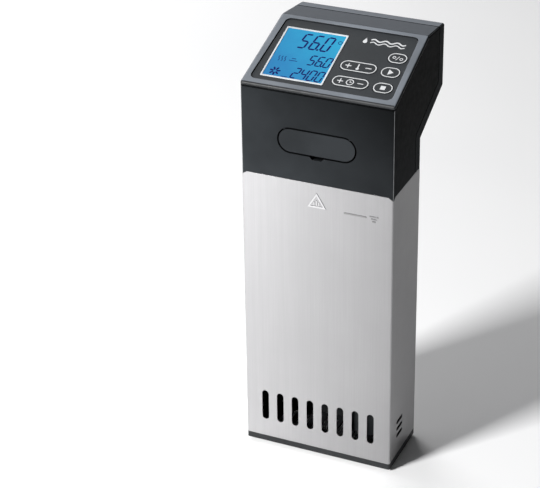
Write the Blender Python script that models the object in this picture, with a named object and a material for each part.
"""Sous vide circulator: a black head with a sloped control panel on a steel sleeve.

Lengths are metres. +X is across, -Y is the front, +Z is up, and z = 0 is the underside of the feet.
Most pieces are drawn by depth: the distance behind the front wall.
"""

import math

import bmesh
import bpy
from mathutils import Matrix

# Overall
FRONT_Y = -0.0602
HALF_WIDTH = 0.055
DRAFT = 0.0259
GAP = 0.0003
FUSE = 0.0002

# Cutters run this far past what they cut, and head-wide ones end at these limits
PAST = 0.002
WELD = 1e-6
AHEAD = -0.050
BEHIND = 0.140
BESIDE = 0.080
BELOW = 0.190
ABOVE = 0.340

# Head
HEAD_LOW = 0.2150
HEAD_CORNER_LOW = 0.2126
CORNER_RUN = 0.0037
PANEL_FRONT_Z = 0.2807
SLOPE_DEPTH = 0.0641
SLOPE_RISE = 0.0246
SLOPE_ANGLE = math.atan2(SLOPE_RISE, SLOPE_DEPTH)
BACK = 0.0960
BACK_TOP_Z = 0.3028
BACK_LOW_Z = 0.2577
NECK = 0.0517
NECK_Z = 0.2366
SLANT = (BACK_LOW_Z - NECK_Z) / (BACK - NECK)
SLANT_ANGLE = math.atan(SLANT)
WALL = 0.0025
HEAD_EDGE = 0.0014
COVER_DEPTH = 0.0105
SEAM = 0.00020
SEAM_STEP = (0.0007, 0.0008)
STUB_LOW = 0.2000
RIDGE_BACK = 0.0040
RIDGE_FRONT = 0.0005

# Control panel, measured from the slope's surface downwards
BEZEL = 0.0020
GROOVE = 0.0006
DECK = 0.0024
PANEL_TOP = -0.0008
PANEL_LOW = -0.0023
BEZEL_OPENING = ((0.0503, 0.0047), (0.0480, 0.0655))
DECK_OPENING = ((0.0492, 0.0075), (0.0484, 0.0625))
CORNER = 0.0040
DECK_CUT = (-0.009, 0.002)
PANEL_CUT = (-0.006, 0.002)

# Display
DISPLAY_CENTRE = (-0.0221, 0.03345)
DISPLAY_SIZE = (0.0448, 0.0489)
DISPLAY_BORDER = 0.0012
DISPLAY_CORNER = 0.0005
GLASS_GAP = 0.0001
MODULE_LOW = -0.0050
MODULE_INSET = 0.0005

# Keys: centre across, centre up the slope, width
KEY_HEIGHT = 0.0094
KEY_TOP = -0.0005
KEY_LOW = -0.0042
KEY_FLANGE_TOP = -0.0030
KEY_FLANGE = 0.0009
KEY_CLEAR = 0.00035
KEY_EDGE = 0.0002
ROCKER_PIVOT = -0.0036
KEYS = {
    "temp_key": (0.0176, 0.0305, 0.0255),
    "time_key": (0.0176, 0.0156, 0.0255),
    "unit_key": (0.0401, 0.0440, 0.0132),
    "start_key": (0.0402, 0.0303, 0.0133),
    "stop_key": (0.0405, 0.0154, 0.0134),
}
ROCKERS = ("temp_key", "time_key")
MAT_SIZE = (0.0470, 0.0440)
MAT_CENTRE = (0.0265, 0.0292)
MAT_CORNER = 0.0020
MAT_LEVELS = (-0.0053, -0.0050)
CONTACT_RADIUS = 0.0018
CONTACT_TOP = -0.0048
BOARD_SIZE = (0.0920, 0.0520)
BOARD_CENTRE = (0.0, 0.0350)
BOARD_LEVELS = (-0.0073, -0.0057)

# Access flap in the front wall. Its hinge is this far behind the front and below its top edge
FLAP_Z = 0.2437
FLAP_WIDTH = 0.0554
FLAP_HEIGHT = 0.0171
FLAP_THICK = 0.0020
FLAP_EDGE = 0.00040
FLAP_CLEAR = 0.00045
HINGE_DEPTH = 0.00075
HINGE_DROP = 0.0009
FLAP_PIN = 0.0004
FLAP_PIN_HOLE = 0.00048
FLAP_PIN_START = 0.0200
FLAP_PIN_REACH = 0.0258
NOTCH_TOP_HALF = 0.0055
NOTCH_LOW_HALF = 0.0032
NOTCH_DROP = 0.0024
NOTCH_OVERLAP = 0.0010
NOTCH_DEPTH = 0.0060
POCKET_DEPTH = 0.0105
POCKET_BACK = 0.0120
POCKET_MARGIN = 0.0036

# Reset button and its switch, behind the pocket
RESET_RADIUS = 0.0029
RESET_FLANGE = 0.0040
RESET_FLANGE_THICK = 0.0012
RESET_SEAT = 0.0123
RESET_LENGTH = 0.0053
RESET_EDGE = 0.0004
SWITCH_HALF = (0.0060, 0.0050)
SWITCH_DEPTHS = (0.0155, 0.0235)
TAB_X = 0.003
TAB_HALF = (0.0010, 0.0003)
TAB_END = 0.0290

# Sleeve and base
SHEET = 0.0008
SLEEVE_LOW = 0.0062
SLEEVE_DEPTH = 0.0520
SLEEVE_EDGE = 0.0011
RAISED = 0.0003
BASE_LOW = 0.0017
BASE_LIP_TOP = 0.0059
BASE_TOP = 0.0135
FOOT_HEIGHT = 0.0014

# Raised marks on the sleeve: triangle (half width, low, high), then bars (x, z, width, height)
TRIANGLE = (0.0068, 0.1976, 0.2085)
TRIANGLE_BAND = 0.0012
LEVEL_Z = 0.1977
RAISED_BARS = (
    (0.0278, LEVEL_Z, 0.0160, 0.0010),
    (-0.0018, 0.2006, 0.0008, 0.0024),
    (0.0, 0.2012, 0.0008, 0.0036),
    (0.0018, 0.2006, 0.0008, 0.0024),
    (0.0412, LEVEL_Z + 0.0012, 0.0062, 0.0008),
    (0.0412, LEVEL_Z - 0.0006, 0.0042, 0.0008),
    (0.0412, LEVEL_Z - 0.0024, 0.0022, 0.0008),
)

# Water slots: count, pitch, length and width, with their place on the sleeve or the base
INTAKE_COUNT = 8
INTAKE_PITCH = 0.0115
INTAKE_HEIGHT = 0.024
INTAKE_SLOT = 0.0052
INTAKE_Z = 0.032
OUTLET_COUNT = 3
OUTLET_PITCH = 0.0055
OUTLET_WIDTH = 0.012
OUTLET_SLOT = 0.003
OUTLET_DEPTH = 0.0195
OUTLET_Z = 0.0215
OUTLET_CUT = (0.045, 0.060)
GRILLE_COUNT = 14
GRILLE_PITCH = 0.0064
GRILLE_LENGTH = 0.038
GRILLE_SLOT = 0.0032
BASE_FLOOR = 0.0020
BASE_WALL = 0.0020
FOOT_SIZE = (0.0050, 0.0460)
FOOT_CORNER = 0.0020
FOOT_X = 0.0490

# Chassis
CHASSIS_LOW = 0.2050
CHASSIS_STEP = 0.2138
CHASSIS_TOP = 0.2225
SEAL_LOW = 0.2080
SEAL_HIGH = 0.2108
SEAL_THICK = 0.0024

# Pump
SHAFT = (0.030, 0.031)
SHAFT_RADIUS = 0.003
SHAFT_LOW = 0.0195
SHAFT_HIGH = 0.2705
MOTOR_RADIUS = 0.016
MOTOR_LOW = 0.2230
MOTOR_HIGH = 0.2575
MOTOR_EDGE = 0.002
MOTOR_COLLAR = (0.006, 0.0025)
BEARING_RADIUS = 0.0080
BEARING_LEVELS = (0.2060, 0.2210)
FAN = {"hub": 0.0055, "tip": 0.0140, "count": 7, "thickness": 0.0014, "sweep": 0.35}
FAN_LEVELS = (0.2625, 0.2690)
IMPELLER = {"hub": 0.0062, "tip": 0.0140, "count": 6, "thickness": 0.0018, "sweep": 0.60}
IMPELLER_LEVELS = (0.0205, 0.0290)
DISC_RADIUS = 0.0143
DISC_LEVELS = (0.0285, 0.0302)
VOLUTE_EYE = 0.0070
VOLUTE_RADIUS = 0.0180
VOLUTE_LEVELS = (0.0175, 0.0360)
VOLUTE_WALL = 0.0018
DUCT_X = (0.0400, 0.0525)
DUCT_DEPTH = (0.0125, 0.0265)
DUCT_Z = (0.0180, 0.0355)
DUCT_WALL = 0.0015
DUCT_CLEAR = 0.0172
STAY_RADIUS = 0.002
STAY_OFFSET = 0.0125
STAY_LEVELS = (0.0363, 0.2047)

# Heater, probe and float
HEATER_DEPTH = 0.026
HEATER_RADIUS = 0.0032
HEATER_LEGS = (-0.027, -0.015, -0.003, 0.009)
HEATER_LOW = 0.046
HEATER_HIGH = 0.188
TUBE_END = 0.2255
PROBE = (-0.034, 0.043)
PROBE_RADIUS = 0.002
PROBE_TIP = 0.0450
PROBE_SHOULDER = (0.7, 0.3)
FLOAT = (-0.043, 0.026)
FLOAT_LOW = 0.0535
FLOAT_HEIGHT = 0.020
FLOAT_RADIUS = 0.008
FLOAT_EDGE = 0.0015
FLOAT_TRAVEL = 0.0125
STEM_RADIUS = 0.002
STEM_CLIP = (0.0038, 0.0012)
STEM_FOOT = (0.0048, 0.0030)

# Rear cover: vent rows, cable gland and screws. Screws are (name, x, z, depth of the face)
VENT_ROWS = 6
VENT_LOW = 0.2680
VENT_PITCH = 0.0048
VENT_SLOT = 0.0022
VENT_WIDTH = 0.034
VENT_X = 0.022
BACK_CUT = (BACK - 0.006, BACK + 0.002)
GLAND_X = -0.030
GLAND_Z = 0.2760
GLAND_BORE = 0.0034
GLAND_NECK = 0.0060
GLAND_NUT = (0.0080, 0.0040)
GLAND_OUTSIDE = ((0.0092, 0.0), (0.0092, 0.0022), (0.0078, 0.0026), (0.0074, 0.0080), (0.0056, 0.0098))
SCREW_HEAD = 0.0030
SCREW_HEIGHT = 0.0014
SCREW_SHANK = 0.0014
SCREW_SINK = 0.0012
SCREW_LENGTH = 0.012
# Shares of a screw head's radius: flat top, cross arm and half its width. Of its height: crown and recess
SCREW_FORM = (0.60, 0.55, 0.13, 0.45, 0.30)
COVER_SCREWS = (
    ("cover_screw_top_left", -0.0445, 0.2955, BACK),
    ("cover_screw_top_right", 0.0445, 0.2955, BACK),
    ("cover_screw_low_left", -0.0470, 0.2285, NECK),
    ("cover_screw_low_right", 0.0470, 0.2285, NECK),
)
SLEEVE_SCREWS = (("sleeve_screw_left", -0.0430, 0.2090), ("sleeve_screw_right", 0.0430, 0.2090))
SLEEVE_SCREW_LENGTH = 0.010

# Parts inside the head
POWER_BOARD = ((-0.0440, 0.0440), (0.0545, 0.0561), (0.2460, 0.2880))
CORE = ((-0.0380, -0.0100), (0.0600, 0.0780), (0.2590, 0.2830))
WINDING = ((-0.0345, -0.0135), (0.0585, 0.0795), (0.2640, 0.2780))
SINK_X = 0.0020
SINK_DEPTHS = (0.0585, 0.0790)
SINK_LEVELS = (0.2600, 0.2840)
SINK_PLATE = 0.003
SINK_FINS = 7
SINK_PITCH = 0.0046
SINK_FIN = 0.0014
CAPACITOR = (0.0415, 0.0680)
CAPACITOR_RADIUS = 0.0060
CAPACITOR_LEVELS = (0.2570, 0.2810)
CAPACITOR_EDGE = 0.0005

# Clamp, with its pad drawn back
CLAMP_Z = 0.200
LEG_FRONT = 0.0760
LEG_BACK = 0.0800
LEG_LOW = 0.1820
LEG_CORNER = 0.012
BRACKET_HALF = 0.024
BRACKET_START = 0.0600
BRACKET_END = 0.0860
BRACKET_SHEET = 0.0030
BRACKET_SCREWS = (("bracket_screw_left", -0.015), ("bracket_screw_right", 0.015))
BRACKET_SCREW_DEPTH = 0.0670
BRACKET_HEAD = 0.0038
BRACKET_HEAD_HEIGHT = 0.0024
BRACKET_SHANK = 0.0020
BRACKET_SCREW_LENGTH = 0.011
GUSSET_X = 0.020
GUSSET_HALF = 0.0015
GUSSET_LOW = 0.222
GUSSET_INTO = 0.001
BOSS_RADIUS = 0.0090
BOSS_BACK = 0.0880
SPINDLE_RADIUS = 0.0039
SPINDLE_EDGE = 0.0008
SPINDLE_FRONT = 0.0728
SPINDLE_BACK = 0.1095
KNOB_HUB = 0.1020
KNOB_HUB_RADIUS = 0.0085
KNOB_FRONT = 0.1060
KNOB_BACK = 0.1207
KNOB_RADIUS = 0.016
KNOB_DIP = 0.0022
KNOB_LOBES = 6
KNOB_EDGE = 0.0012
PAD_RADIUS = 0.0095
PAD_FRONT = 0.0675
SHOE_THICK = 0.0022
SHOE_EDGE = 0.0006
PLATE_LEVELS = (-0.0025, -0.0040, -0.0050)
PLATE_BOSS = 0.0055
BACKING_SIZE = (0.060, 0.034)
BACKING_Z = 0.1935
BACKING_CORNER = 0.004
BACKING_THICK = 0.0020

# Colour, roughness, metallic
BLACK_PLASTIC = ((0.020, 0.022, 0.024), 0.50, 0.0)
GREY_PLASTIC = ((0.110, 0.120, 0.130), 0.45, 0.0)
PANEL_FILM = ((0.045, 0.050, 0.055), 0.40, 0.0)
KEY_FILM = ((0.055, 0.060, 0.065), 0.42, 0.0)
WHITE_PLASTIC = ((0.80, 0.80, 0.78), 0.45, 0.0)
BLUE_GLASS = ((0.050, 0.280, 0.560), 0.15, 0.0)
SILICONE = ((0.30, 0.31, 0.32), 0.70, 0.0)
RUBBER = ((0.015, 0.015, 0.016), 0.80, 0.0)
STEEL = ((0.60, 0.60, 0.61), 0.32, 1.0)
DARK_STEEL = ((0.25, 0.25, 0.27), 0.40, 1.0)
ALUMINIUM = ((0.55, 0.56, 0.58), 0.42, 1.0)
BRASS = ((0.62, 0.45, 0.20), 0.35, 1.0)
BOARD_GREEN = ((0.020, 0.160, 0.070), 0.50, 0.0)
RED_PLASTIC = ((0.55, 0.03, 0.02), 0.45, 0.0)

# Local axes: world; the slope (across, up the slope, out of it); a wall seen from the front
# (across, up, towards the front) or from behind (across mirrored, up, towards the back)
WORLD = Matrix.Translation((0.0, FRONT_Y, 0.0))
SLOPE = Matrix.Translation((0.0, FRONT_Y, PANEL_FRONT_Z)) @ Matrix.Rotation(SLOPE_ANGLE, 4, "X")
FACE = Matrix.Translation((0.0, FRONT_Y, 0.0)) @ Matrix.Rotation(math.pi / 2, 4, "X")
REAR = FACE @ Matrix.Rotation(math.pi, 4, "Y")


def half_width(depth):
    """The body narrows a little towards the back."""
    return HALF_WIDTH - DRAFT * depth


def on_slope(depth, lift=0.0):
    """Height of the slope's plane at this depth, raised along its normal by lift."""
    return PANEL_FRONT_Z + depth * math.tan(SLOPE_ANGLE) + lift / math.cos(SLOPE_ANGLE)


def on_slant(depth, lift=0.0):
    """Height of the slanted underside at this depth, moved up along its normal by lift."""
    return NECK_Z + (depth - NECK) * SLANT + lift / math.cos(SLANT_ANGLE)


# Outlines


def circle(radius, steps=24, centre=(0.0, 0.0)):
    turns = [2 * math.pi * (i + 0.5) / steps for i in range(steps)]
    return [(centre[0] + radius * math.cos(t), centre[1] + radius * math.sin(t)) for t in turns]


def arc(centre, radius, start, end, steps):
    turns = [start + (end - start) * i / steps for i in range(steps + 1)]
    return [(centre[0] + radius * math.cos(t), centre[1] + radius * math.sin(t)) for t in turns]


def rounded(width, height, radius, steps=5, centre=(0.0, 0.0)):
    """A rectangle with round corners; a pill when the radius is half the height."""
    x, y = width / 2 - radius, height / 2 - radius
    outline = []
    for i, (sx, sy) in enumerate(((1, 1), (-1, 1), (-1, -1), (1, -1))):
        corner = (centre[0] + sx * x, centre[1] + sy * y)
        outline += arc(corner, radius, i * math.pi / 2, (i + 1) * math.pi / 2, steps)
    return outline


def rectangle(width, height, centre=(0.0, 0.0)):
    x, y = width / 2, height / 2
    return [(centre[0] + sx * x, centre[1] + sy * y) for sx, sy in ((-1, -1), (1, -1), (1, 1), (-1, 1))]


def upright_slots(count, pitch, length, width, height, steps=3):
    """A row of pills that stand up, side by side about the middle."""
    row = [(i - (count - 1) / 2) * pitch for i in range(count)]
    return [[(x, z) for z, x in pill(length, width, steps, (height, centre))][::-1] for centre in row]


def pill(width, height, steps=8, centre=(0.0, 0.0)):
    x = (width - height) / 2
    right = arc((centre[0] + x, centre[1]), height / 2, -math.pi / 2, math.pi / 2, 2 * steps)
    left = arc((centre[0] - x, centre[1]), height / 2, math.pi / 2, 3 * math.pi / 2, 2 * steps)
    return right + left


def tapered(opening, radius, inset=0.0, steps=5):
    """A rectangle that narrows up the slope, with round corners."""
    (low_half, low), (high_half, high) = opening
    low_half, high_half = low_half - inset, high_half - inset
    low, high = low + inset, high - inset
    corners = ((high_half, high), (-high_half, high), (-low_half, low), (low_half, low))
    outline = []
    for i, (x, y) in enumerate(corners):
        sx, sy = math.copysign(1, x), 1 if i < 2 else -1
        centre = (x - sx * radius, y - sy * radius)
        outline += arc(centre, radius, i * math.pi / 2, (i + 1) * math.pi / 2, steps)
    return outline


def vaned(hub, tip, count, thickness, sweep):
    """A round hub with swept vanes."""
    outline = []
    half = thickness / 2
    for i in range(count):
        turn = 2 * math.pi * i / count
        for radius, side, lead in ((hub, -1, 0), (tip, -1, 1), (tip, 1, 1), (hub, 1, 0)):
            t = turn + lead * sweep + side * half / radius
            outline.append((radius * math.cos(t), radius * math.sin(t)))
        middle = turn + math.pi / count
        outline.append((hub * math.cos(middle), hub * math.sin(middle)))
    return outline


def lobed(radius, dip, lobes, steps):
    """A hand knob's outline: a circle with shallow finger hollows."""
    outline = []
    for i in range(lobes * steps):
        t = 2 * math.pi * i / (lobes * steps)
        r = radius - dip * (0.5 - 0.5 * math.cos(lobes * t)) ** 2
        outline.append((r * math.cos(t), r * math.sin(t)))
    return outline


# Solids


def add_object(name, mesh_builder, look, axes=WORLD, at=(0.0, 0.0, 0.0)):
    """Wraps a finished bmesh as a named object with its own material."""
    mesh = bpy.data.meshes.new(name)
    bmesh.ops.recalc_face_normals(mesh_builder, faces=mesh_builder.faces)
    mesh_builder.to_mesh(mesh)
    mesh_builder.free()
    obj = bpy.data.objects.new(name, mesh)
    bpy.context.scene.collection.objects.link(obj)
    obj.matrix_world = axes @ Matrix.Translation(at)
    return dress(obj, look) if look else obj


def dress(obj, look):
    """Gives an object its own material, named after it."""
    material = bpy.data.materials.new(obj.name)
    material.use_nodes = True
    shader = material.node_tree.nodes["Principled BSDF"]
    shader.inputs["Base Color"].default_value = (*look[0], 1.0)
    shader.inputs["Roughness"].default_value = look[1]
    shader.inputs["Metallic"].default_value = look[2]
    obj.data.materials.append(material)
    return obj


def loft(builder, rings, place):
    """Adds a closed solid through (outline, level) rings that have equal numbers of points."""
    loops = [[builder.verts.new(place(p, level)) for p in outline] for outline, level in rings]
    builder.faces.new(loops[0][::-1])
    builder.faces.new(loops[-1])
    count = len(loops[0])
    for lower, upper in zip(loops, loops[1:]):
        for i in range(count):
            j = (i + 1) % count
            builder.faces.new((lower[i], lower[j], upper[j], upper[i]))


def extrude(builder, outline, low, high, place=lambda point, level: (*point, level)):
    """Adds a prism on the local XY outline. place(point, level) may put its vertices elsewhere."""
    loft(builder, ((outline, low), (outline, high)), place)


def prism(name, outline, low, high, look=None, axes=WORLD, at=(0.0, 0.0, 0.0)):
    builder = bmesh.new()
    extrude(builder, outline, low, high)
    return add_object(name, builder, look, axes, at)


def prisms(name, outlines, low, high, axes=WORLD):
    """Several prisms that don't touch, as one helper."""
    builder = bmesh.new()
    for outline in outlines:
        extrude(builder, outline, low, high)
    return add_object(name, builder, None, axes)


def stack(name, rings, look=None, axes=WORLD, at=(0.0, 0.0, 0.0)):
    builder = bmesh.new()
    loft(builder, rings, lambda point, level: (*point, level))
    return add_object(name, builder, look, axes, at)


def along_x(name, outlines, low, high, axes=WORLD, at=(0.0, 0.0, 0.0)):
    """Prisms that run across, from low to high, on outlines of the other two axes."""
    builder = bmesh.new()
    for outline in outlines:
        extrude(builder, outline, low, high, lambda point, level: (level, *point))
    return add_object(name, builder, None, axes, at)


def across(name, outline, look=None, inset=0.0, half=None):
    """A prism across the body from a (depth, z) outline. With no half width it follows the sides' draft."""
    builder = bmesh.new()

    def place(point, side):
        reach = half if half is not None else half_width(point[0]) - inset
        return (side * reach, *point)

    extrude(builder, outline, -1, 1, place)
    return add_object(name, builder, look)


def box(name, x, depth, z, look=None):
    outline = [(x[0], depth[0]), (x[1], depth[0]), (x[1], depth[1]), (x[0], depth[1])]
    return prism(name, outline, *z, look)


def band(inset, low, high):
    """A (depth, z) outline inside the sleeve's footprint."""
    return [(inset, low), (inset, high), (SLEEVE_DEPTH - inset, high), (SLEEVE_DEPTH - inset, low)]


def turned(name, profile, look=None, axes=WORLD, at=(0.0, 0.0, 0.0), steps=28):
    """A solid of revolution about local Z from a (radius, z) profile. A closed profile makes a ring."""
    builder = bmesh.new()
    points = [builder.verts.new((radius, 0.0, z)) for radius, z in profile]
    edges = [builder.edges.new(pair) for pair in zip(points, points[1:])]
    if profile[0][0] > 0:
        edges.append(builder.edges.new((points[-1], points[0])))
    bmesh.ops.spin(builder, geom=points + edges, cent=(0, 0, 0), axis=(0, 0, 1), dvec=(0, 0, 0),
                   angle=2 * math.pi, steps=steps, use_merge=True, use_duplicate=False)
    bmesh.ops.remove_doubles(builder, verts=builder.verts, dist=WELD)
    return smooth(add_object(name, builder, look, axes, at))


def smooth(obj, angle=0.6):
    obj.data.shade_smooth()
    obj.data.set_sharp_from_angle(angle=angle)
    return obj


def round_uprights(obj, width, steps=3):
    """Rounds the edges that run along local Z."""
    builder = bmesh.new()
    builder.from_mesh(obj.data)
    edges = []
    for edge in builder.edges:
        along = edge.verts[1].co - edge.verts[0].co
        if abs(along.z) > 0.99 * along.length:
            edges.append(edge)
    bmesh.ops.bevel(builder, geom=edges, offset=width, segments=steps, profile=0.5, affect="EDGES")
    builder.to_mesh(obj.data)
    builder.free()
    return obj


def soften(obj, width, steps=2, angle=0.5):
    modifier = obj.modifiers.new("edge", "BEVEL")
    modifier.width = width
    modifier.segments = steps
    modifier.limit_method = "ANGLE"
    modifier.angle_limit = angle
    return obj


def combine(target, operation, *tools):
    """Boolean with each tool, which then stays only as a hidden helper."""
    for tool in tools:
        modifier = target.modifiers.new(tool.name, "BOOLEAN")
        modifier.operation = operation
        modifier.solver = "EXACT"
        modifier.object = tool
        tool.hide_render = True
        tool.display_type = "WIRE"
    return target


def cut(target, *tools):
    return combine(target, "DIFFERENCE", *tools)


def join(target, *tools):
    return combine(target, "UNION", *tools)


def relieve_corners(obj, depth, drop):
    """Slices the four upper corners off a block that has the body's footprint."""
    builder = bmesh.new()
    builder.from_mesh(obj.data)
    tilt = (HEAD_LOW - HEAD_CORNER_LOW) / CORNER_RUN
    for side in (-1, 1):
        for end, inward in ((0.0, 1), (depth, -1)):
            corner = (side * half_width(end), end, HEAD_CORNER_LOW + drop)
            normal = (side * tilt, -inward * tilt, 1.0)
            geometry = builder.verts[:] + builder.edges[:] + builder.faces[:]
            done = bmesh.ops.bisect_plane(builder, geom=geometry, plane_co=corner, plane_no=normal,
                                          clear_outer=True)
            rim = [item for item in done["geom_cut"] if isinstance(item, bmesh.types.BMEdge)]
            bmesh.ops.contextual_create(builder, geom=rim)
    bmesh.ops.recalc_face_normals(builder, faces=builder.faces)
    builder.to_mesh(obj.data)
    builder.free()
    return obj


# Head


def seam_line(offset):
    """The parting line, parallel to the head's back at this offset, from top to bottom."""
    upper, lower = BACK - offset, NECK - offset
    return [
        (upper, ABOVE),
        (upper, on_slant(upper, offset)),
        (lower, on_slant(lower, offset)),
        (lower, BELOW),
    ]


def head_block(name):
    """The head's outer form with its edges rounded, longer at the bottom than the head."""
    outline = [
        (0.0, STUB_LOW),
        (0.0, PANEL_FRONT_Z),
        (SLOPE_DEPTH, PANEL_FRONT_Z + SLOPE_RISE),
        (BACK, BACK_TOP_Z),
        (BACK, BACK_LOW_Z),
        (NECK, NECK_Z),
        (NECK, STUB_LOW),
    ]
    return soften(across(name, outline), HEAD_EDGE, 3)


def head_hollow(name, wall=WALL):
    """The space inside the head's walls, or inside an outer layer of another thickness."""
    top = wall / math.cos(SLANT_ANGLE)
    under = -(BEZEL + GROOVE + DECK)
    ridge = SLOPE_DEPTH - RIDGE_FRONT
    outline = [
        (wall, BELOW),
        (wall, on_slope(wall, under)),
        (ridge, on_slope(ridge, under)),
        (SLOPE_DEPTH + RIDGE_BACK, PANEL_FRONT_Z + SLOPE_RISE - top),
        (BACK - wall, BACK_TOP_Z - wall),
        (BACK - wall, on_slant(BACK - wall, wall)),
        (NECK - wall, on_slant(NECK - wall, wall)),
        (NECK - wall, BELOW),
    ]
    return across(name, outline, inset=wall)


def seam_step():
    """The strip sliced off the rear cover's outer edge, along the parting line."""
    width, depth = SEAM_STEP
    behind = seam_line(COVER_DEPTH - SEAM - width)
    strip = across("seam_step", seam_line(COVER_DEPTH) + behind[::-1], half=BESIDE)
    return cut(strip, head_hollow("under_seam_step", depth))


def below_head(name):
    """Everything under the head, shaped like the sleeve's relieved top."""
    top = HEAD_LOW + GAP
    outline = [(-PAST, BELOW), (-PAST, top), (NECK + PAST, top), (NECK + PAST, BELOW)]
    return relieve_corners(across(name, outline, inset=-PAST), NECK, GAP)


def make_front_housing():
    housing = dress(head_block("front_housing"), BLACK_PLASTIC)
    behind = seam_line(COVER_DEPTH + SEAM) + [(BEHIND, BELOW), (BEHIND, ABOVE)]
    lowered = -(BEZEL + GROOVE)
    ridge = SLOPE_DEPTH + GAP
    above_deck = [(AHEAD, on_slope(AHEAD, lowered)), (ridge, on_slope(ridge, lowered)), (ridge, ABOVE),
                  (AHEAD, ABOVE)]
    cut(housing, across("behind_seam", behind, half=BESIDE), across("above_deck", above_deck, half=BESIDE))
    cut(housing, head_hollow("housing_hollow"), below_head("housing_skirt"))
    cut(housing, prism("deck_window", tapered(DECK_OPENING, CORNER), *DECK_CUT, axes=SLOPE))
    add_flap_pocket(housing)


def add_flap_pocket(housing):
    """The oval hole with a bevelled rim, the thumb notch, the pin holes, and the cup behind them."""
    width, height = FLAP_WIDTH + 2 * FLAP_CLEAR, FLAP_HEIGHT + 2 * FLAP_CLEAR
    middle = (0.0, FLAP_Z, 0.0)
    outline = pill(width + 2 * POCKET_MARGIN, height + 2 * POCKET_MARGIN)
    cup = prism("pocket_cup", outline, -POCKET_BACK, -WALL - SEAM, BLACK_PLASTIC, FACE, middle)
    hole = pill(width, height)
    flare = pill(width + 2 * (FLAP_EDGE + PAST), height + 2 * (FLAP_EDGE + PAST))
    opening = stack("pocket_hole", ((hole, -POCKET_DEPTH), (hole, -FLAP_EDGE), (flare, PAST)), axes=FACE,
                    at=middle)
    low, top, bottom = -height / 2, NOTCH_TOP_HALF, NOTCH_LOW_HALF
    sides = [(-top, low + NOTCH_OVERLAP), (-top, low), (-bottom, low - NOTCH_DROP),
             (bottom, low - NOTCH_DROP), (top, low), (top, low + NOTCH_OVERLAP)]
    notch = prism("thumb_notch", sides, -NOTCH_DEPTH, PAST, axes=FACE, at=middle)
    cut(housing, opening, notch)
    reset = circle(RESET_RADIUS + GAP, 20)
    cut(cup, opening, notch, prism("reset_hole", reset, -POCKET_BACK - PAST, PAST - POCKET_DEPTH, axes=FACE,
                                   at=middle))
    pin = (0.0, FLAP_Z + FLAP_HEIGHT / 2 - HINGE_DROP, -HINGE_DEPTH)
    for side, name in ((-1, "pin_hole_left"), (1, "pin_hole_right")):
        ends = sorted((side * FLAP_PIN_START, side * (FLAP_PIN_REACH + GAP)))
        cut(housing, along_x(name, [circle(FLAP_PIN_HOLE, 16)], *ends, FACE, pin))


def make_rear_cover():
    cover = dress(head_block("rear_cover"), BLACK_PLASTIC)
    ahead = seam_line(COVER_DEPTH - SEAM) + [(AHEAD, BELOW), (AHEAD, ABOVE)]
    cut(cover, across("ahead_of_seam", ahead, half=BESIDE), head_hollow("cover_hollow"))
    cut(cover, seam_step(), below_head("cover_skirt"))
    slots = [pill(VENT_WIDTH, VENT_SLOT, 3, (-VENT_X, VENT_LOW + i * VENT_PITCH)) for i in range(VENT_ROWS)]
    cut(cover, prisms("vents", slots, *BACK_CUT, REAR))
    cut(cover, prism("gland_hole", circle(GLAND_NECK + GAP, 24, (-GLAND_X, GLAND_Z)), *BACK_CUT, axes=REAR))
    for name, x, z, face in COVER_SCREWS:
        seat = circle(SCREW_HEAD + GAP, 20, (-x, z))
        shank = circle(SCREW_SHANK + GAP, 16, (-x, z))
        cut(cover, prism(f"{name}_seat", seat, face - SCREW_SINK, face + PAST, axes=REAR))
        cut(cover, prism(f"{name}_hole", shank, face - WALL - PAST, face + PAST, axes=REAR))
    for name, x in BRACKET_SCREWS:
        cut(cover, prism(f"{name}_hole", circle(BRACKET_SHANK + GAP, 16), -WALL - PAST, PAST,
                         axes=slant_axes(BRACKET_SCREW_DEPTH), at=(x, 0.0, 0.0)))


def slant_axes(depth):
    """Axes on the slanted underside: across, along it, and out of it."""
    point = Matrix.Translation((0.0, FRONT_Y + depth, on_slant(depth)))
    return point @ Matrix.Rotation(math.pi + SLANT_ANGLE, 4, "X")


def screw(name, axes, at, head, shank, length, height):
    """A pan head screw with a cross recess. Its head's underside is at local z = 0."""
    flat, arm, half = (share * head for share in SCREW_FORM[:3])
    crown, recess = (share * height for share in SCREW_FORM[3:])
    body = turned(name, [(0.0, height), (flat, height), (head, crown), (head, 0.0), (shank, 0.0),
                         (shank, -length), (0.0, -length)], STEEL, axes, at, steps=18)
    cross = [(half, half), (half, arm), (-half, arm), (-half, half), (-arm, half), (-arm, -half),
             (-half, -half), (-half, -arm), (half, -arm), (half, -half), (arm, -half), (arm, half)]
    cut(body, prism(f"{name}_recess", cross, recess, height + PAST, axes=axes, at=at))


def make_bezel():
    bezel = dress(head_block("panel_bezel"), GREY_PLASTIC)
    slab = [(AHEAD, on_slope(AHEAD, -BEZEL)), (AHEAD, ABOVE), (SLOPE_DEPTH, ABOVE),
            (SLOPE_DEPTH, on_slope(SLOPE_DEPTH, -BEZEL))]
    combine(bezel, "INTERSECT", across("bezel_slab", slab, half=BESIDE))
    cut(bezel, prism("bezel_opening", tapered(BEZEL_OPENING, CORNER), *PANEL_CUT, axes=SLOPE))


def make_control_panel():
    outline = tapered(BEZEL_OPENING, CORNER, inset=GAP)
    panel = prism("control_panel", outline, PANEL_LOW, PANEL_TOP, PANEL_FILM, SLOPE)
    cut(panel, prism("display_window", display_outline(-GAP), *PANEL_CUT, axes=SLOPE))
    for name, (x, up, width) in KEYS.items():
        hole = pill(width + 2 * KEY_CLEAR, KEY_HEIGHT + 2 * KEY_CLEAR, 6, (x, up))
        cut(panel, prism(f"{name}_hole", hole, *PANEL_CUT, axes=SLOPE))


def display_outline(inset):
    width, height = DISPLAY_SIZE
    return rounded(width - 2 * inset, height - 2 * inset, DISPLAY_CORNER, 2, DISPLAY_CENTRE)


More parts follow.
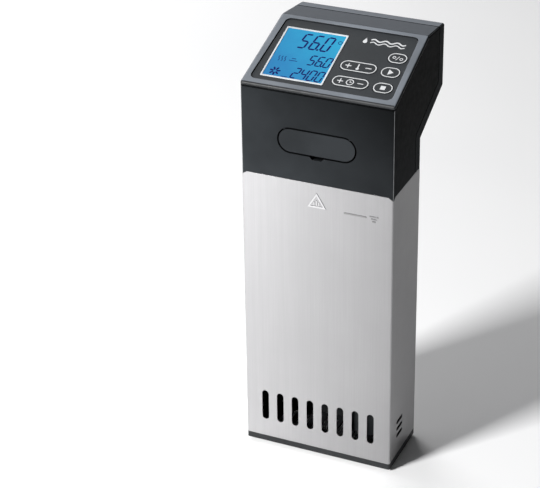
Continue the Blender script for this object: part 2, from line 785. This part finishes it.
def make_display():
    """A white frame around the glass, and the module behind them."""
    frame = prism("display_frame", display_outline(0.0), PANEL_LOW, PANEL_TOP + FUSE, WHITE_PLASTIC, SLOPE)
    cut(frame, prism("frame_opening", display_outline(DISPLAY_BORDER), *PANEL_CUT, axes=SLOPE))
    prism("display_glass", display_outline(DISPLAY_BORDER + GLASS_GAP), PANEL_LOW, PANEL_TOP - FUSE / 2,
          BLUE_GLASS, SLOPE)
    prism("display_module", display_outline(MODULE_INSET), MODULE_LOW, PANEL_LOW - GAP, WHITE_PLASTIC, SLOPE)


def make_keys():
    """Key caps, each held under the panel by a flange. A long key rocks about its middle."""
    for name, (x, up, width) in KEYS.items():
        pivot = ROCKER_PIVOT if name in ROCKERS else KEY_LOW
        at = (x, up, pivot)
        low, middle, high = KEY_LOW - pivot, KEY_FLANGE_TOP - pivot, KEY_TOP - pivot
        key = prism(name, pill(width, KEY_HEIGHT, 6), middle - FUSE, high, KEY_FILM, SLOPE, at)
        soften(key, KEY_EDGE)
        flange = pill(width + 2 * KEY_FLANGE, KEY_HEIGHT + 2 * KEY_FLANGE, 5)
        join(key, prism(f"{name}_flange", flange, low, middle, axes=SLOPE, at=at))


def make_key_electronics():
    """The silicone mat with a contact under each key's end, and the board it presses on."""
    mat = prism("key_mat", rounded(*MAT_SIZE, MAT_CORNER, 3, MAT_CENTRE), *MAT_LEVELS, SILICONE, SLOPE)
    contacts = []
    for name, (x, up, width) in KEYS.items():
        spots = (x - width / 4, x + width / 4) if name in ROCKERS else (x,)
        contacts += [circle(CONTACT_RADIUS, 10, (spot, up)) for spot in spots]
    join(mat, prisms("contacts", contacts, MAT_LEVELS[1] - FUSE, CONTACT_TOP, SLOPE))
    prism("key_board", rectangle(*BOARD_SIZE, BOARD_CENTRE), *BOARD_LEVELS, BOARD_GREEN, SLOPE)


def make_flap():
    """The oval flap with a bevelled front edge, and the pins it turns on."""
    drop = FLAP_HEIGHT / 2 - HINGE_DROP
    at = (0.0, FLAP_Z + drop, -HINGE_DEPTH)
    outer = pill(FLAP_WIDTH, FLAP_HEIGHT, 8, (0.0, -drop))
    face = pill(FLAP_WIDTH - 2 * FLAP_EDGE, FLAP_HEIGHT - 2 * FLAP_EDGE, 8, (0.0, -drop))
    flap = stack("access_flap", ((outer, HINGE_DEPTH - FLAP_THICK), (outer, HINGE_DEPTH - FLAP_EDGE),
                                 (face, HINGE_DEPTH)), BLACK_PLASTIC, FACE, at)
    join(flap, along_x("flap_pins", [circle(FLAP_PIN, 12)], -FLAP_PIN_REACH, FLAP_PIN_REACH, FACE, at))


def make_reset():
    r, flange = RESET_RADIUS, RESET_FLANGE
    turned("reset_button", [
        (0.0, RESET_LENGTH), (r - RESET_EDGE, RESET_LENGTH), (r, RESET_LENGTH - RESET_EDGE), (r, 0.0),
        (flange, 0.0), (flange, -RESET_FLANGE_THICK), (0.0, -RESET_FLANGE_THICK),
    ], RED_PLASTIC, FACE, (0.0, FLAP_Z, -RESET_SEAT), steps=20)
    x, z = SWITCH_HALF
    body = box("reset_switch", (-x, x), SWITCH_DEPTHS, (FLAP_Z - z, FLAP_Z + z), DARK_STEEL)
    half, thick = TAB_HALF
    for name, x in (("reset_tab_left", -TAB_X), ("reset_tab_right", TAB_X)):
        join(body, box(name, (x - half, x + half), (SWITCH_DEPTHS[1] - FUSE, TAB_END),
                       (FLAP_Z - thick, FLAP_Z + thick)))


# Sleeve, base and chassis


def make_sleeve():
    sleeve = across("sleeve", band(0.0, SLEEVE_LOW, HEAD_LOW), STEEL)
    round_uprights(relieve_corners(sleeve, SLEEVE_DEPTH, 0.0), SLEEVE_EDGE)
    cut(sleeve, across("sleeve_hollow", band(SHEET, -PAST, ABOVE), inset=SHEET))
    intake = upright_slots(INTAKE_COUNT, INTAKE_PITCH, INTAKE_HEIGHT, INTAKE_SLOT, INTAKE_Z)
    cut(sleeve, prisms("intake", intake, -SHEET - PAST, PAST, FACE))
    outlet = [pill(OUTLET_WIDTH, OUTLET_SLOT, 3, (OUTLET_DEPTH, OUTLET_Z + i * OUTLET_PITCH))
              for i in range(OUTLET_COUNT)]
    cut(sleeve, along_x("outlet", outlet, *OUTLET_CUT))
    cut_sleeve_screws(sleeve)
    raise_marks(sleeve)


def cut_sleeve_screws(obj):
    """Holes for the two screws that hold the sleeve to the chassis."""
    for name, x, z in SLEEVE_SCREWS:
        hole = circle(SCREW_SHANK + GAP, 16, (-x, z))
        cut(obj, prism(f"{obj.name}_{name}", hole, SLEEVE_DEPTH - SLEEVE_SCREW_LENGTH - PAST,
                       SLEEVE_DEPTH + PAST, axes=REAR))


def raise_marks(sleeve):
    """A plain triangle, the level line and a level symbol, pressed out of the front."""
    half, low, high = TRIANGLE
    triangle = prism("triangle", [(-half, low), (half, low), (0.0, high)], -FUSE, RAISED, axes=FACE)
    side = math.hypot(half, high - low)
    inner_half = half - TRIANGLE_BAND * (half + side) / (high - low)
    inner_high = high - TRIANGLE_BAND * side / half
    inner = [(-inner_half, low + TRIANGLE_BAND), (inner_half, low + TRIANGLE_BAND), (0.0, inner_high)]
    cut(triangle, prism("triangle_inner", inner, -PAST, PAST, axes=FACE))
    bars = [rectangle(width, height, (x, z)) for x, z, width, height in RAISED_BARS]
    join(sleeve, triangle, prisms("raised_bars", bars, -FUSE, RAISED, FACE))


def make_base():
    """The base with its grille, and two strips of rubber under it."""
    base = across("base_grille", band(0.0, BASE_LOW, BASE_LIP_TOP), BLACK_PLASTIC)
    round_uprights(base, SLEEVE_EDGE)
    inset = SHEET + GAP
    join(base, across("base_spigot", band(inset, BASE_LIP_TOP - FUSE, BASE_TOP), inset=inset))
    inset += BASE_WALL
    cut(base, across("base_hollow", band(inset, BASE_LOW + BASE_FLOOR, BASE_TOP + PAST), inset=inset))
    slots = upright_slots(GRILLE_COUNT, GRILLE_PITCH, GRILLE_LENGTH, GRILLE_SLOT, SLEEVE_DEPTH / 2, 2)
    cut(base, prisms("grille", slots, BASE_LOW - PAST, BASE_LOW + BASE_FLOOR + PAST))
    for side, name in ((-1, "foot_left"), (1, "foot_right")):
        outline = rounded(*FOOT_SIZE, FOOT_CORNER, 4, (side * FOOT_X, SLEEVE_DEPTH / 2))
        prism(name, outline, 0.0, FOOT_HEIGHT, RUBBER)


def make_chassis():
    """The cast plate that closes the sleeve, with a groove for its seal."""
    low_inset, high_inset = SHEET + GAP, WALL + GAP
    plate = across("chassis_plate", band(low_inset, CHASSIS_LOW, CHASSIS_STEP), ALUMINIUM, inset=low_inset)
    upper = [(high_inset, CHASSIS_STEP - FUSE), (high_inset, CHASSIS_TOP), (NECK - high_inset, CHASSIS_TOP),
             (NECK - high_inset, CHASSIS_STEP - FUSE)]
    join(plate, across("chassis_upper", upper, inset=high_inset))
    groove = across("seal_groove", band(-PAST, SEAL_LOW - GAP, SEAL_HIGH + GAP), half=BESIDE)
    core = low_inset + SEAL_THICK
    cut(groove, across("groove_core", band(core, BELOW, CHASSIS_TOP + PAST), inset=core))
    cut(plate, groove)
    holes = [(SHAFT, BEARING_RADIUS + GAP), (PROBE, PROBE_RADIUS + GAP), (FLOAT, STEM_RADIUS + GAP)]
    holes += [((x, HEATER_DEPTH), HEATER_RADIUS + GAP) for x in (HEATER_LEGS[0], HEATER_LEGS[-1])]
    for i, (centre, radius) in enumerate(holes):
        cut(plate, prism(f"chassis_hole_{i}", circle(radius, 24, centre), BELOW, CHASSIS_TOP + PAST))
    cut_sleeve_screws(plate)
    seal = across("chassis_seal", band(low_inset, SEAL_LOW, SEAL_HIGH), RUBBER, inset=low_inset)
    core -= GAP
    cut(seal, across("seal_core", band(core, BELOW, CHASSIS_TOP + PAST), inset=core))
    cut_sleeve_screws(seal)


# Pump, heater, probe and float


def rod(name, radius, low, high, look, at, steps=16):
    return turned(name, [(0.0, high), (radius, high), (radius, low), (0.0, low)], look, at=at, steps=steps)


def make_pump():
    """Motor on the chassis, a long shaft, and an impeller in its volute at the bottom."""
    spot = (*SHAFT, 0.0)
    rod("drive_shaft", SHAFT_RADIUS, SHAFT_LOW, SHAFT_HIGH, STEEL, spot)
    bore = SHAFT_RADIUS + GAP
    collar, rise = MOTOR_COLLAR
    turned("motor_body", [
        (bore, MOTOR_LOW), (MOTOR_RADIUS, MOTOR_LOW), (MOTOR_RADIUS, MOTOR_HIGH - MOTOR_EDGE),
        (MOTOR_RADIUS - MOTOR_EDGE, MOTOR_HIGH), (collar, MOTOR_HIGH), (collar, MOTOR_HIGH + rise),
        (bore, MOTOR_HIGH + rise),
    ], DARK_STEEL, at=spot, steps=32)
    low, high = BEARING_LEVELS
    wide = BEARING_RADIUS
    turned("shaft_bearing", [(bore, low), (wide, low), (wide, high), (bore, high)], BRASS, at=spot, steps=24)
    fan = prism("cooling_fan", vaned(**FAN), *FAN_LEVELS, WHITE_PLASTIC, at=spot)
    cut(fan, prism("fan_bore", circle(bore, 16), FAN_LEVELS[0] - PAST, FAN_LEVELS[1] + PAST, at=spot))
    impeller = prism("impeller", vaned(**IMPELLER), *IMPELLER_LEVELS, BLACK_PLASTIC, at=spot)
    join(impeller, prism("impeller_disc", circle(DISC_RADIUS, 24), *DISC_LEVELS, at=spot))
    cut(impeller, prism("impeller_bore", circle(bore, 16), IMPELLER_LEVELS[0] - PAST, DISC_LEVELS[1] + PAST,
                        at=spot))
    make_volute(spot, bore + FUSE)
    for side, name in ((-1, "stay_left"), (1, "stay_right")):
        rod(name, STAY_RADIUS, *STAY_LEVELS, STEEL, (SHAFT[0] + side * STAY_OFFSET, SHAFT[1], 0.0), 12)


def make_volute(spot, bore):
    """The impeller's round housing, with a duct to the outlet slots."""
    (low, high), wall = VOLUTE_LEVELS, VOLUTE_WALL
    inner = VOLUTE_RADIUS - wall
    volute = turned("pump_volute", [
        (VOLUTE_EYE, low), (VOLUTE_RADIUS, low), (VOLUTE_RADIUS, high), (bore, high), (bore, high - wall),
        (inner, high - wall), (inner, low + wall), (VOLUTE_EYE, low + wall),
    ], BLACK_PLASTIC, at=spot, steps=32)
    duct = box("duct", DUCT_X, DUCT_DEPTH, DUCT_Z)
    cut(duct, prism("duct_clear", circle(DUCT_CLEAR, 32, SHAFT), DUCT_Z[0] - PAST, DUCT_Z[1] + PAST))
    join(volute, duct)
    inside = [(span[0] + DUCT_WALL, span[1] - DUCT_WALL) for span in (DUCT_DEPTH, DUCT_Z)]
    cut(volute, box("duct_bore", (DUCT_X[0] - PAST, DUCT_X[1] + PAST), *inside))


def make_heater():
    """One tube, bent down and up through all four legs."""
    bend = (HEATER_LEGS[1] - HEATER_LEGS[0]) / 2
    path = [(HEATER_LEGS[0], TUBE_END)]
    path += arc((HEATER_LEGS[0] + bend, HEATER_LOW), bend, math.pi, 2 * math.pi, 8)
    path += arc((HEATER_LEGS[1] + bend, HEATER_HIGH), bend, math.pi, 0.0, 8)
    path += arc((HEATER_LEGS[2] + bend, HEATER_LOW), bend, math.pi, 2 * math.pi, 8)
    path.append((HEATER_LEGS[3], TUBE_END))
    curve = bpy.data.curves.new("heater_path", "CURVE")
    curve.dimensions = "3D"
    curve.bevel_depth = HEATER_RADIUS
    curve.bevel_resolution = 3
    curve.use_fill_caps = True
    spline = curve.splines.new("POLY")
    spline.points.add(len(path) - 1)
    for point, (x, z) in zip(spline.points, path):
        point.co = (x, HEATER_DEPTH, z, 1.0)
    guide = bpy.data.objects.new("heater_guide", curve)
    guide.matrix_world = WORLD
    bpy.context.scene.collection.objects.link(guide)
    graph = bpy.context.evaluated_depsgraph_get()
    builder = bmesh.new()
    builder.from_mesh(guide.evaluated_get(graph).to_mesh())
    bmesh.ops.remove_doubles(builder, verts=builder.verts, dist=WELD)
    bpy.data.objects.remove(guide)
    smooth(add_object("heater_element", builder, STEEL))


def make_sensors():
    """The temperature probe, and a float that slides on its stem between a clip and a foot."""
    r, tip = PROBE_RADIUS, PROBE_TIP
    out, up = PROBE_SHOULDER
    turned("temperature_probe", [
        (0.0, TUBE_END), (r, TUBE_END), (r, tip + r), (out * r, tip + up * r), (0.0, tip),
    ], STEEL, at=(*PROBE, 0.0), steps=12)
    stem, clip = STEM_RADIUS, FLOAT_LOW + FLOAT_HEIGHT + FLOAT_TRAVEL
    (clip_radius, clip_thick), (foot_radius, foot_thick) = STEM_CLIP, STEM_FOOT
    foot_top = FLOAT_LOW - GAP
    turned("float_stem", [
        (0.0, TUBE_END), (stem, TUBE_END), (stem, clip + clip_thick), (clip_radius, clip + clip_thick),
        (clip_radius, clip), (stem, clip), (stem, foot_top), (foot_radius, foot_top),
        (foot_radius, foot_top - foot_thick), (0.0, foot_top - foot_thick),
    ], STEEL, at=(*FLOAT, 0.0), steps=16)
    hole, wide, edge = stem + GAP, FLOAT_RADIUS, FLOAT_EDGE
    turned("level_float", [
        (hole, 0.0), (wide - edge, 0.0), (wide, edge), (wide, FLOAT_HEIGHT - edge),
        (wide - edge, FLOAT_HEIGHT), (hole, FLOAT_HEIGHT),
    ], WHITE_PLASTIC, at=(*FLOAT, FLOAT_LOW), steps=24)


# Parts inside the head


def make_electronics():
    """The power board, with a transformer, a finned heat sink and a capacitor behind it."""
    box("power_board", *POWER_BOARD, BOARD_GREEN)
    join(box("transformer", *CORE, DARK_STEEL), box("winding", *WINDING))
    base, tip = SINK_DEPTHS
    valley = base + SINK_PLATE
    comb = []
    for i in range(SINK_FINS):
        left = SINK_X + i * SINK_PITCH
        right = left + SINK_FIN
        comb += [(left, valley), (left, tip), (right, tip), (right, valley)]
    comb[0] = (SINK_X, base)
    comb[-1] = (comb[-1][0], base)
    prism("heat_sink", comb, *SINK_LEVELS, ALUMINIUM)
    (low, high), r, edge = CAPACITOR_LEVELS, CAPACITOR_RADIUS, CAPACITOR_EDGE
    turned("capacitor", [
        (0.0, high), (r - edge, high), (r, high - edge), (r, low), (0.0, low),
    ], BLACK_PLASTIC, at=(*CAPACITOR, 0.0), steps=20)


# Cable gland, clamp and screws


def make_gland():
    """The bush that a mains cord passes through, with its nut inside the cover."""
    wall, (nut, nut_thick) = BACK - WALL - GAP, GLAND_NUT
    profile = [(GLAND_BORE, wall - nut_thick), (nut, wall - nut_thick), (nut, wall), (GLAND_NECK, wall),
               (GLAND_NECK, BACK + GAP)]
    profile += [(radius, BACK + GAP + out) for radius, out in GLAND_OUTSIDE]
    profile.append((GLAND_BORE, profile[-1][1]))
    turned("cable_gland", profile, BLACK_PLASTIC, REAR, (-GLAND_X, GLAND_Z, 0.0))


def make_bracket():
    """A steel bracket under the slanted back: a foot, a leg with round corners, gussets and a boss."""
    low = -GAP - BRACKET_SHEET
    outline = [(BRACKET_START, on_slant(BRACKET_START, -GAP)), (BRACKET_END, on_slant(BRACKET_END, -GAP)),
               (BRACKET_END, on_slant(BRACKET_END, low)), (LEG_BACK, on_slant(LEG_BACK, low)),
               (LEG_BACK, LEG_LOW), (LEG_FRONT, LEG_LOW), (LEG_FRONT, on_slant(LEG_FRONT, low)),
               (BRACKET_START, on_slant(BRACKET_START, low))]
    bracket = across("clamp_bracket", outline, STEEL, half=BRACKET_HALF)
    height = ABOVE - LEG_LOW
    shape = rounded(2 * BRACKET_HALF, height, LEG_CORNER, 6, (0.0, LEG_LOW + height / 2))
    combine(bracket, "INTERSECT", prism("bracket_shape", shape, -BEHIND, 0.0, axes=FACE))
    join(bracket, prism("bracket_boss", circle(BOSS_RADIUS, 28), -BOSS_BACK, FUSE - LEG_BACK, axes=FACE,
                        at=(0.0, CLAMP_Z, 0.0)))
    into, end = LEG_BACK - GUSSET_INTO, BRACKET_END - GUSSET_INTO
    inside = low + GUSSET_INTO
    gusset = [(into, GUSSET_LOW), (LEG_BACK, GUSSET_LOW), (end, on_slant(end, low)),
              (end, on_slant(end, inside)), (into, on_slant(into, inside))]
    for name, x in (("gusset_left", -GUSSET_X), ("gusset_right", GUSSET_X)):
        join(bracket, along_x(name, [gusset], x - GUSSET_HALF, x + GUSSET_HALF))
    cut(bracket, prism("spindle_hole", circle(SPINDLE_RADIUS + GAP, 24), -BOSS_BACK - PAST, PAST - LEG_FRONT,
                       axes=FACE, at=(0.0, CLAMP_Z, 0.0)))
    axes = slant_axes(BRACKET_SCREW_DEPTH)
    for name, x in BRACKET_SCREWS:
        cut(bracket, prism(f"{name}_pass", circle(BRACKET_SHANK + GAP, 16), -PAST, BRACKET_SHEET + PAST,
                           axes=axes, at=(x, 0.0, 0.0)))


def make_clamp_screw():
    """Pad, spindle and knob on one axis behind the head."""
    pad = (0.0, CLAMP_Z, -PAD_FRONT)
    r = PAD_RADIUS
    turned("pad_shoe", [
        (0.0, 0.0), (r - SHOE_EDGE, 0.0), (r, -SHOE_EDGE), (r, -SHOE_THICK), (0.0, -SHOE_THICK),
    ], RUBBER, FACE, pad)
    face, rim, back = PLATE_LEVELS
    turned("pad_plate", [
        (0.0, face), (r, face), (r, rim), (PLATE_BOSS, back), (0.0, back),
    ], STEEL, FACE, pad)
    r, half = SPINDLE_RADIUS, (SPINDLE_BACK - SPINDLE_FRONT) / 2
    turned("clamp_spindle", [(0.0, half), (r - SPINDLE_EDGE, half), (r, half - SPINDLE_EDGE), (r, -half),
                             (0.0, -half)], STEEL, FACE, (0.0, CLAMP_Z, -SPINDLE_FRONT - half), steps=24)
    centre = (0.0, CLAMP_Z, 0.0)
    knob = prism("clamp_knob", lobed(KNOB_RADIUS, KNOB_DIP, KNOB_LOBES, 8), -KNOB_BACK, -KNOB_FRONT,
                 BLACK_PLASTIC, FACE, centre)
    soften(knob, KNOB_EDGE, angle=0.9)
    hub, bore = circle(KNOB_HUB_RADIUS, 28), circle(r + GAP, 24)
    join(knob, prism("knob_hub", hub, -KNOB_FRONT - PAST, -KNOB_HUB, axes=FACE, at=centre))
    cut(knob, prism("knob_bore", bore, -SPINDLE_BACK - GAP, PAST - KNOB_HUB, axes=FACE, at=centre))


def make_backing_pad():
    """The rubber on the sleeve's back that the pot's wall is pressed against."""
    outline = rounded(*BACKING_SIZE, BACKING_CORNER, 4, (0.0, BACKING_Z))
    low = SLEEVE_DEPTH + GAP
    prism("backing_pad", outline, low, low + BACKING_THICK, RUBBER, REAR)


def make_screws():
    small = (SCREW_HEAD, SCREW_SHANK)
    for name, x, z, face in COVER_SCREWS:
        screw(name, REAR, (-x, z, face - SCREW_SINK + GAP), *small, SCREW_LENGTH, SCREW_HEIGHT)
    for name, x, z in SLEEVE_SCREWS:
        screw(name, REAR, (-x, z, SLEEVE_DEPTH + GAP), *small, SLEEVE_SCREW_LENGTH, SCREW_HEIGHT)
    for name, x in BRACKET_SCREWS:
        screw(name, slant_axes(BRACKET_SCREW_DEPTH), (x, 0.0, 2 * GAP + BRACKET_SHEET), BRACKET_HEAD,
              BRACKET_SHANK, BRACKET_SCREW_LENGTH, BRACKET_HEAD_HEIGHT)


def main():
    for obj in list(bpy.data.objects):
        bpy.data.objects.remove(obj)
    make_front_housing()
    make_rear_cover()
    make_bezel()
    make_control_panel()
    make_display()
    make_keys()
    make_key_electronics()
    make_flap()
    make_reset()
    make_sleeve()
    make_base()
    make_chassis()
    make_pump()
    make_heater()
    make_sensors()
    make_electronics()
    make_gland()
    make_bracket()
    make_clamp_screw()
    make_backing_pad()
    make_screws()


main()
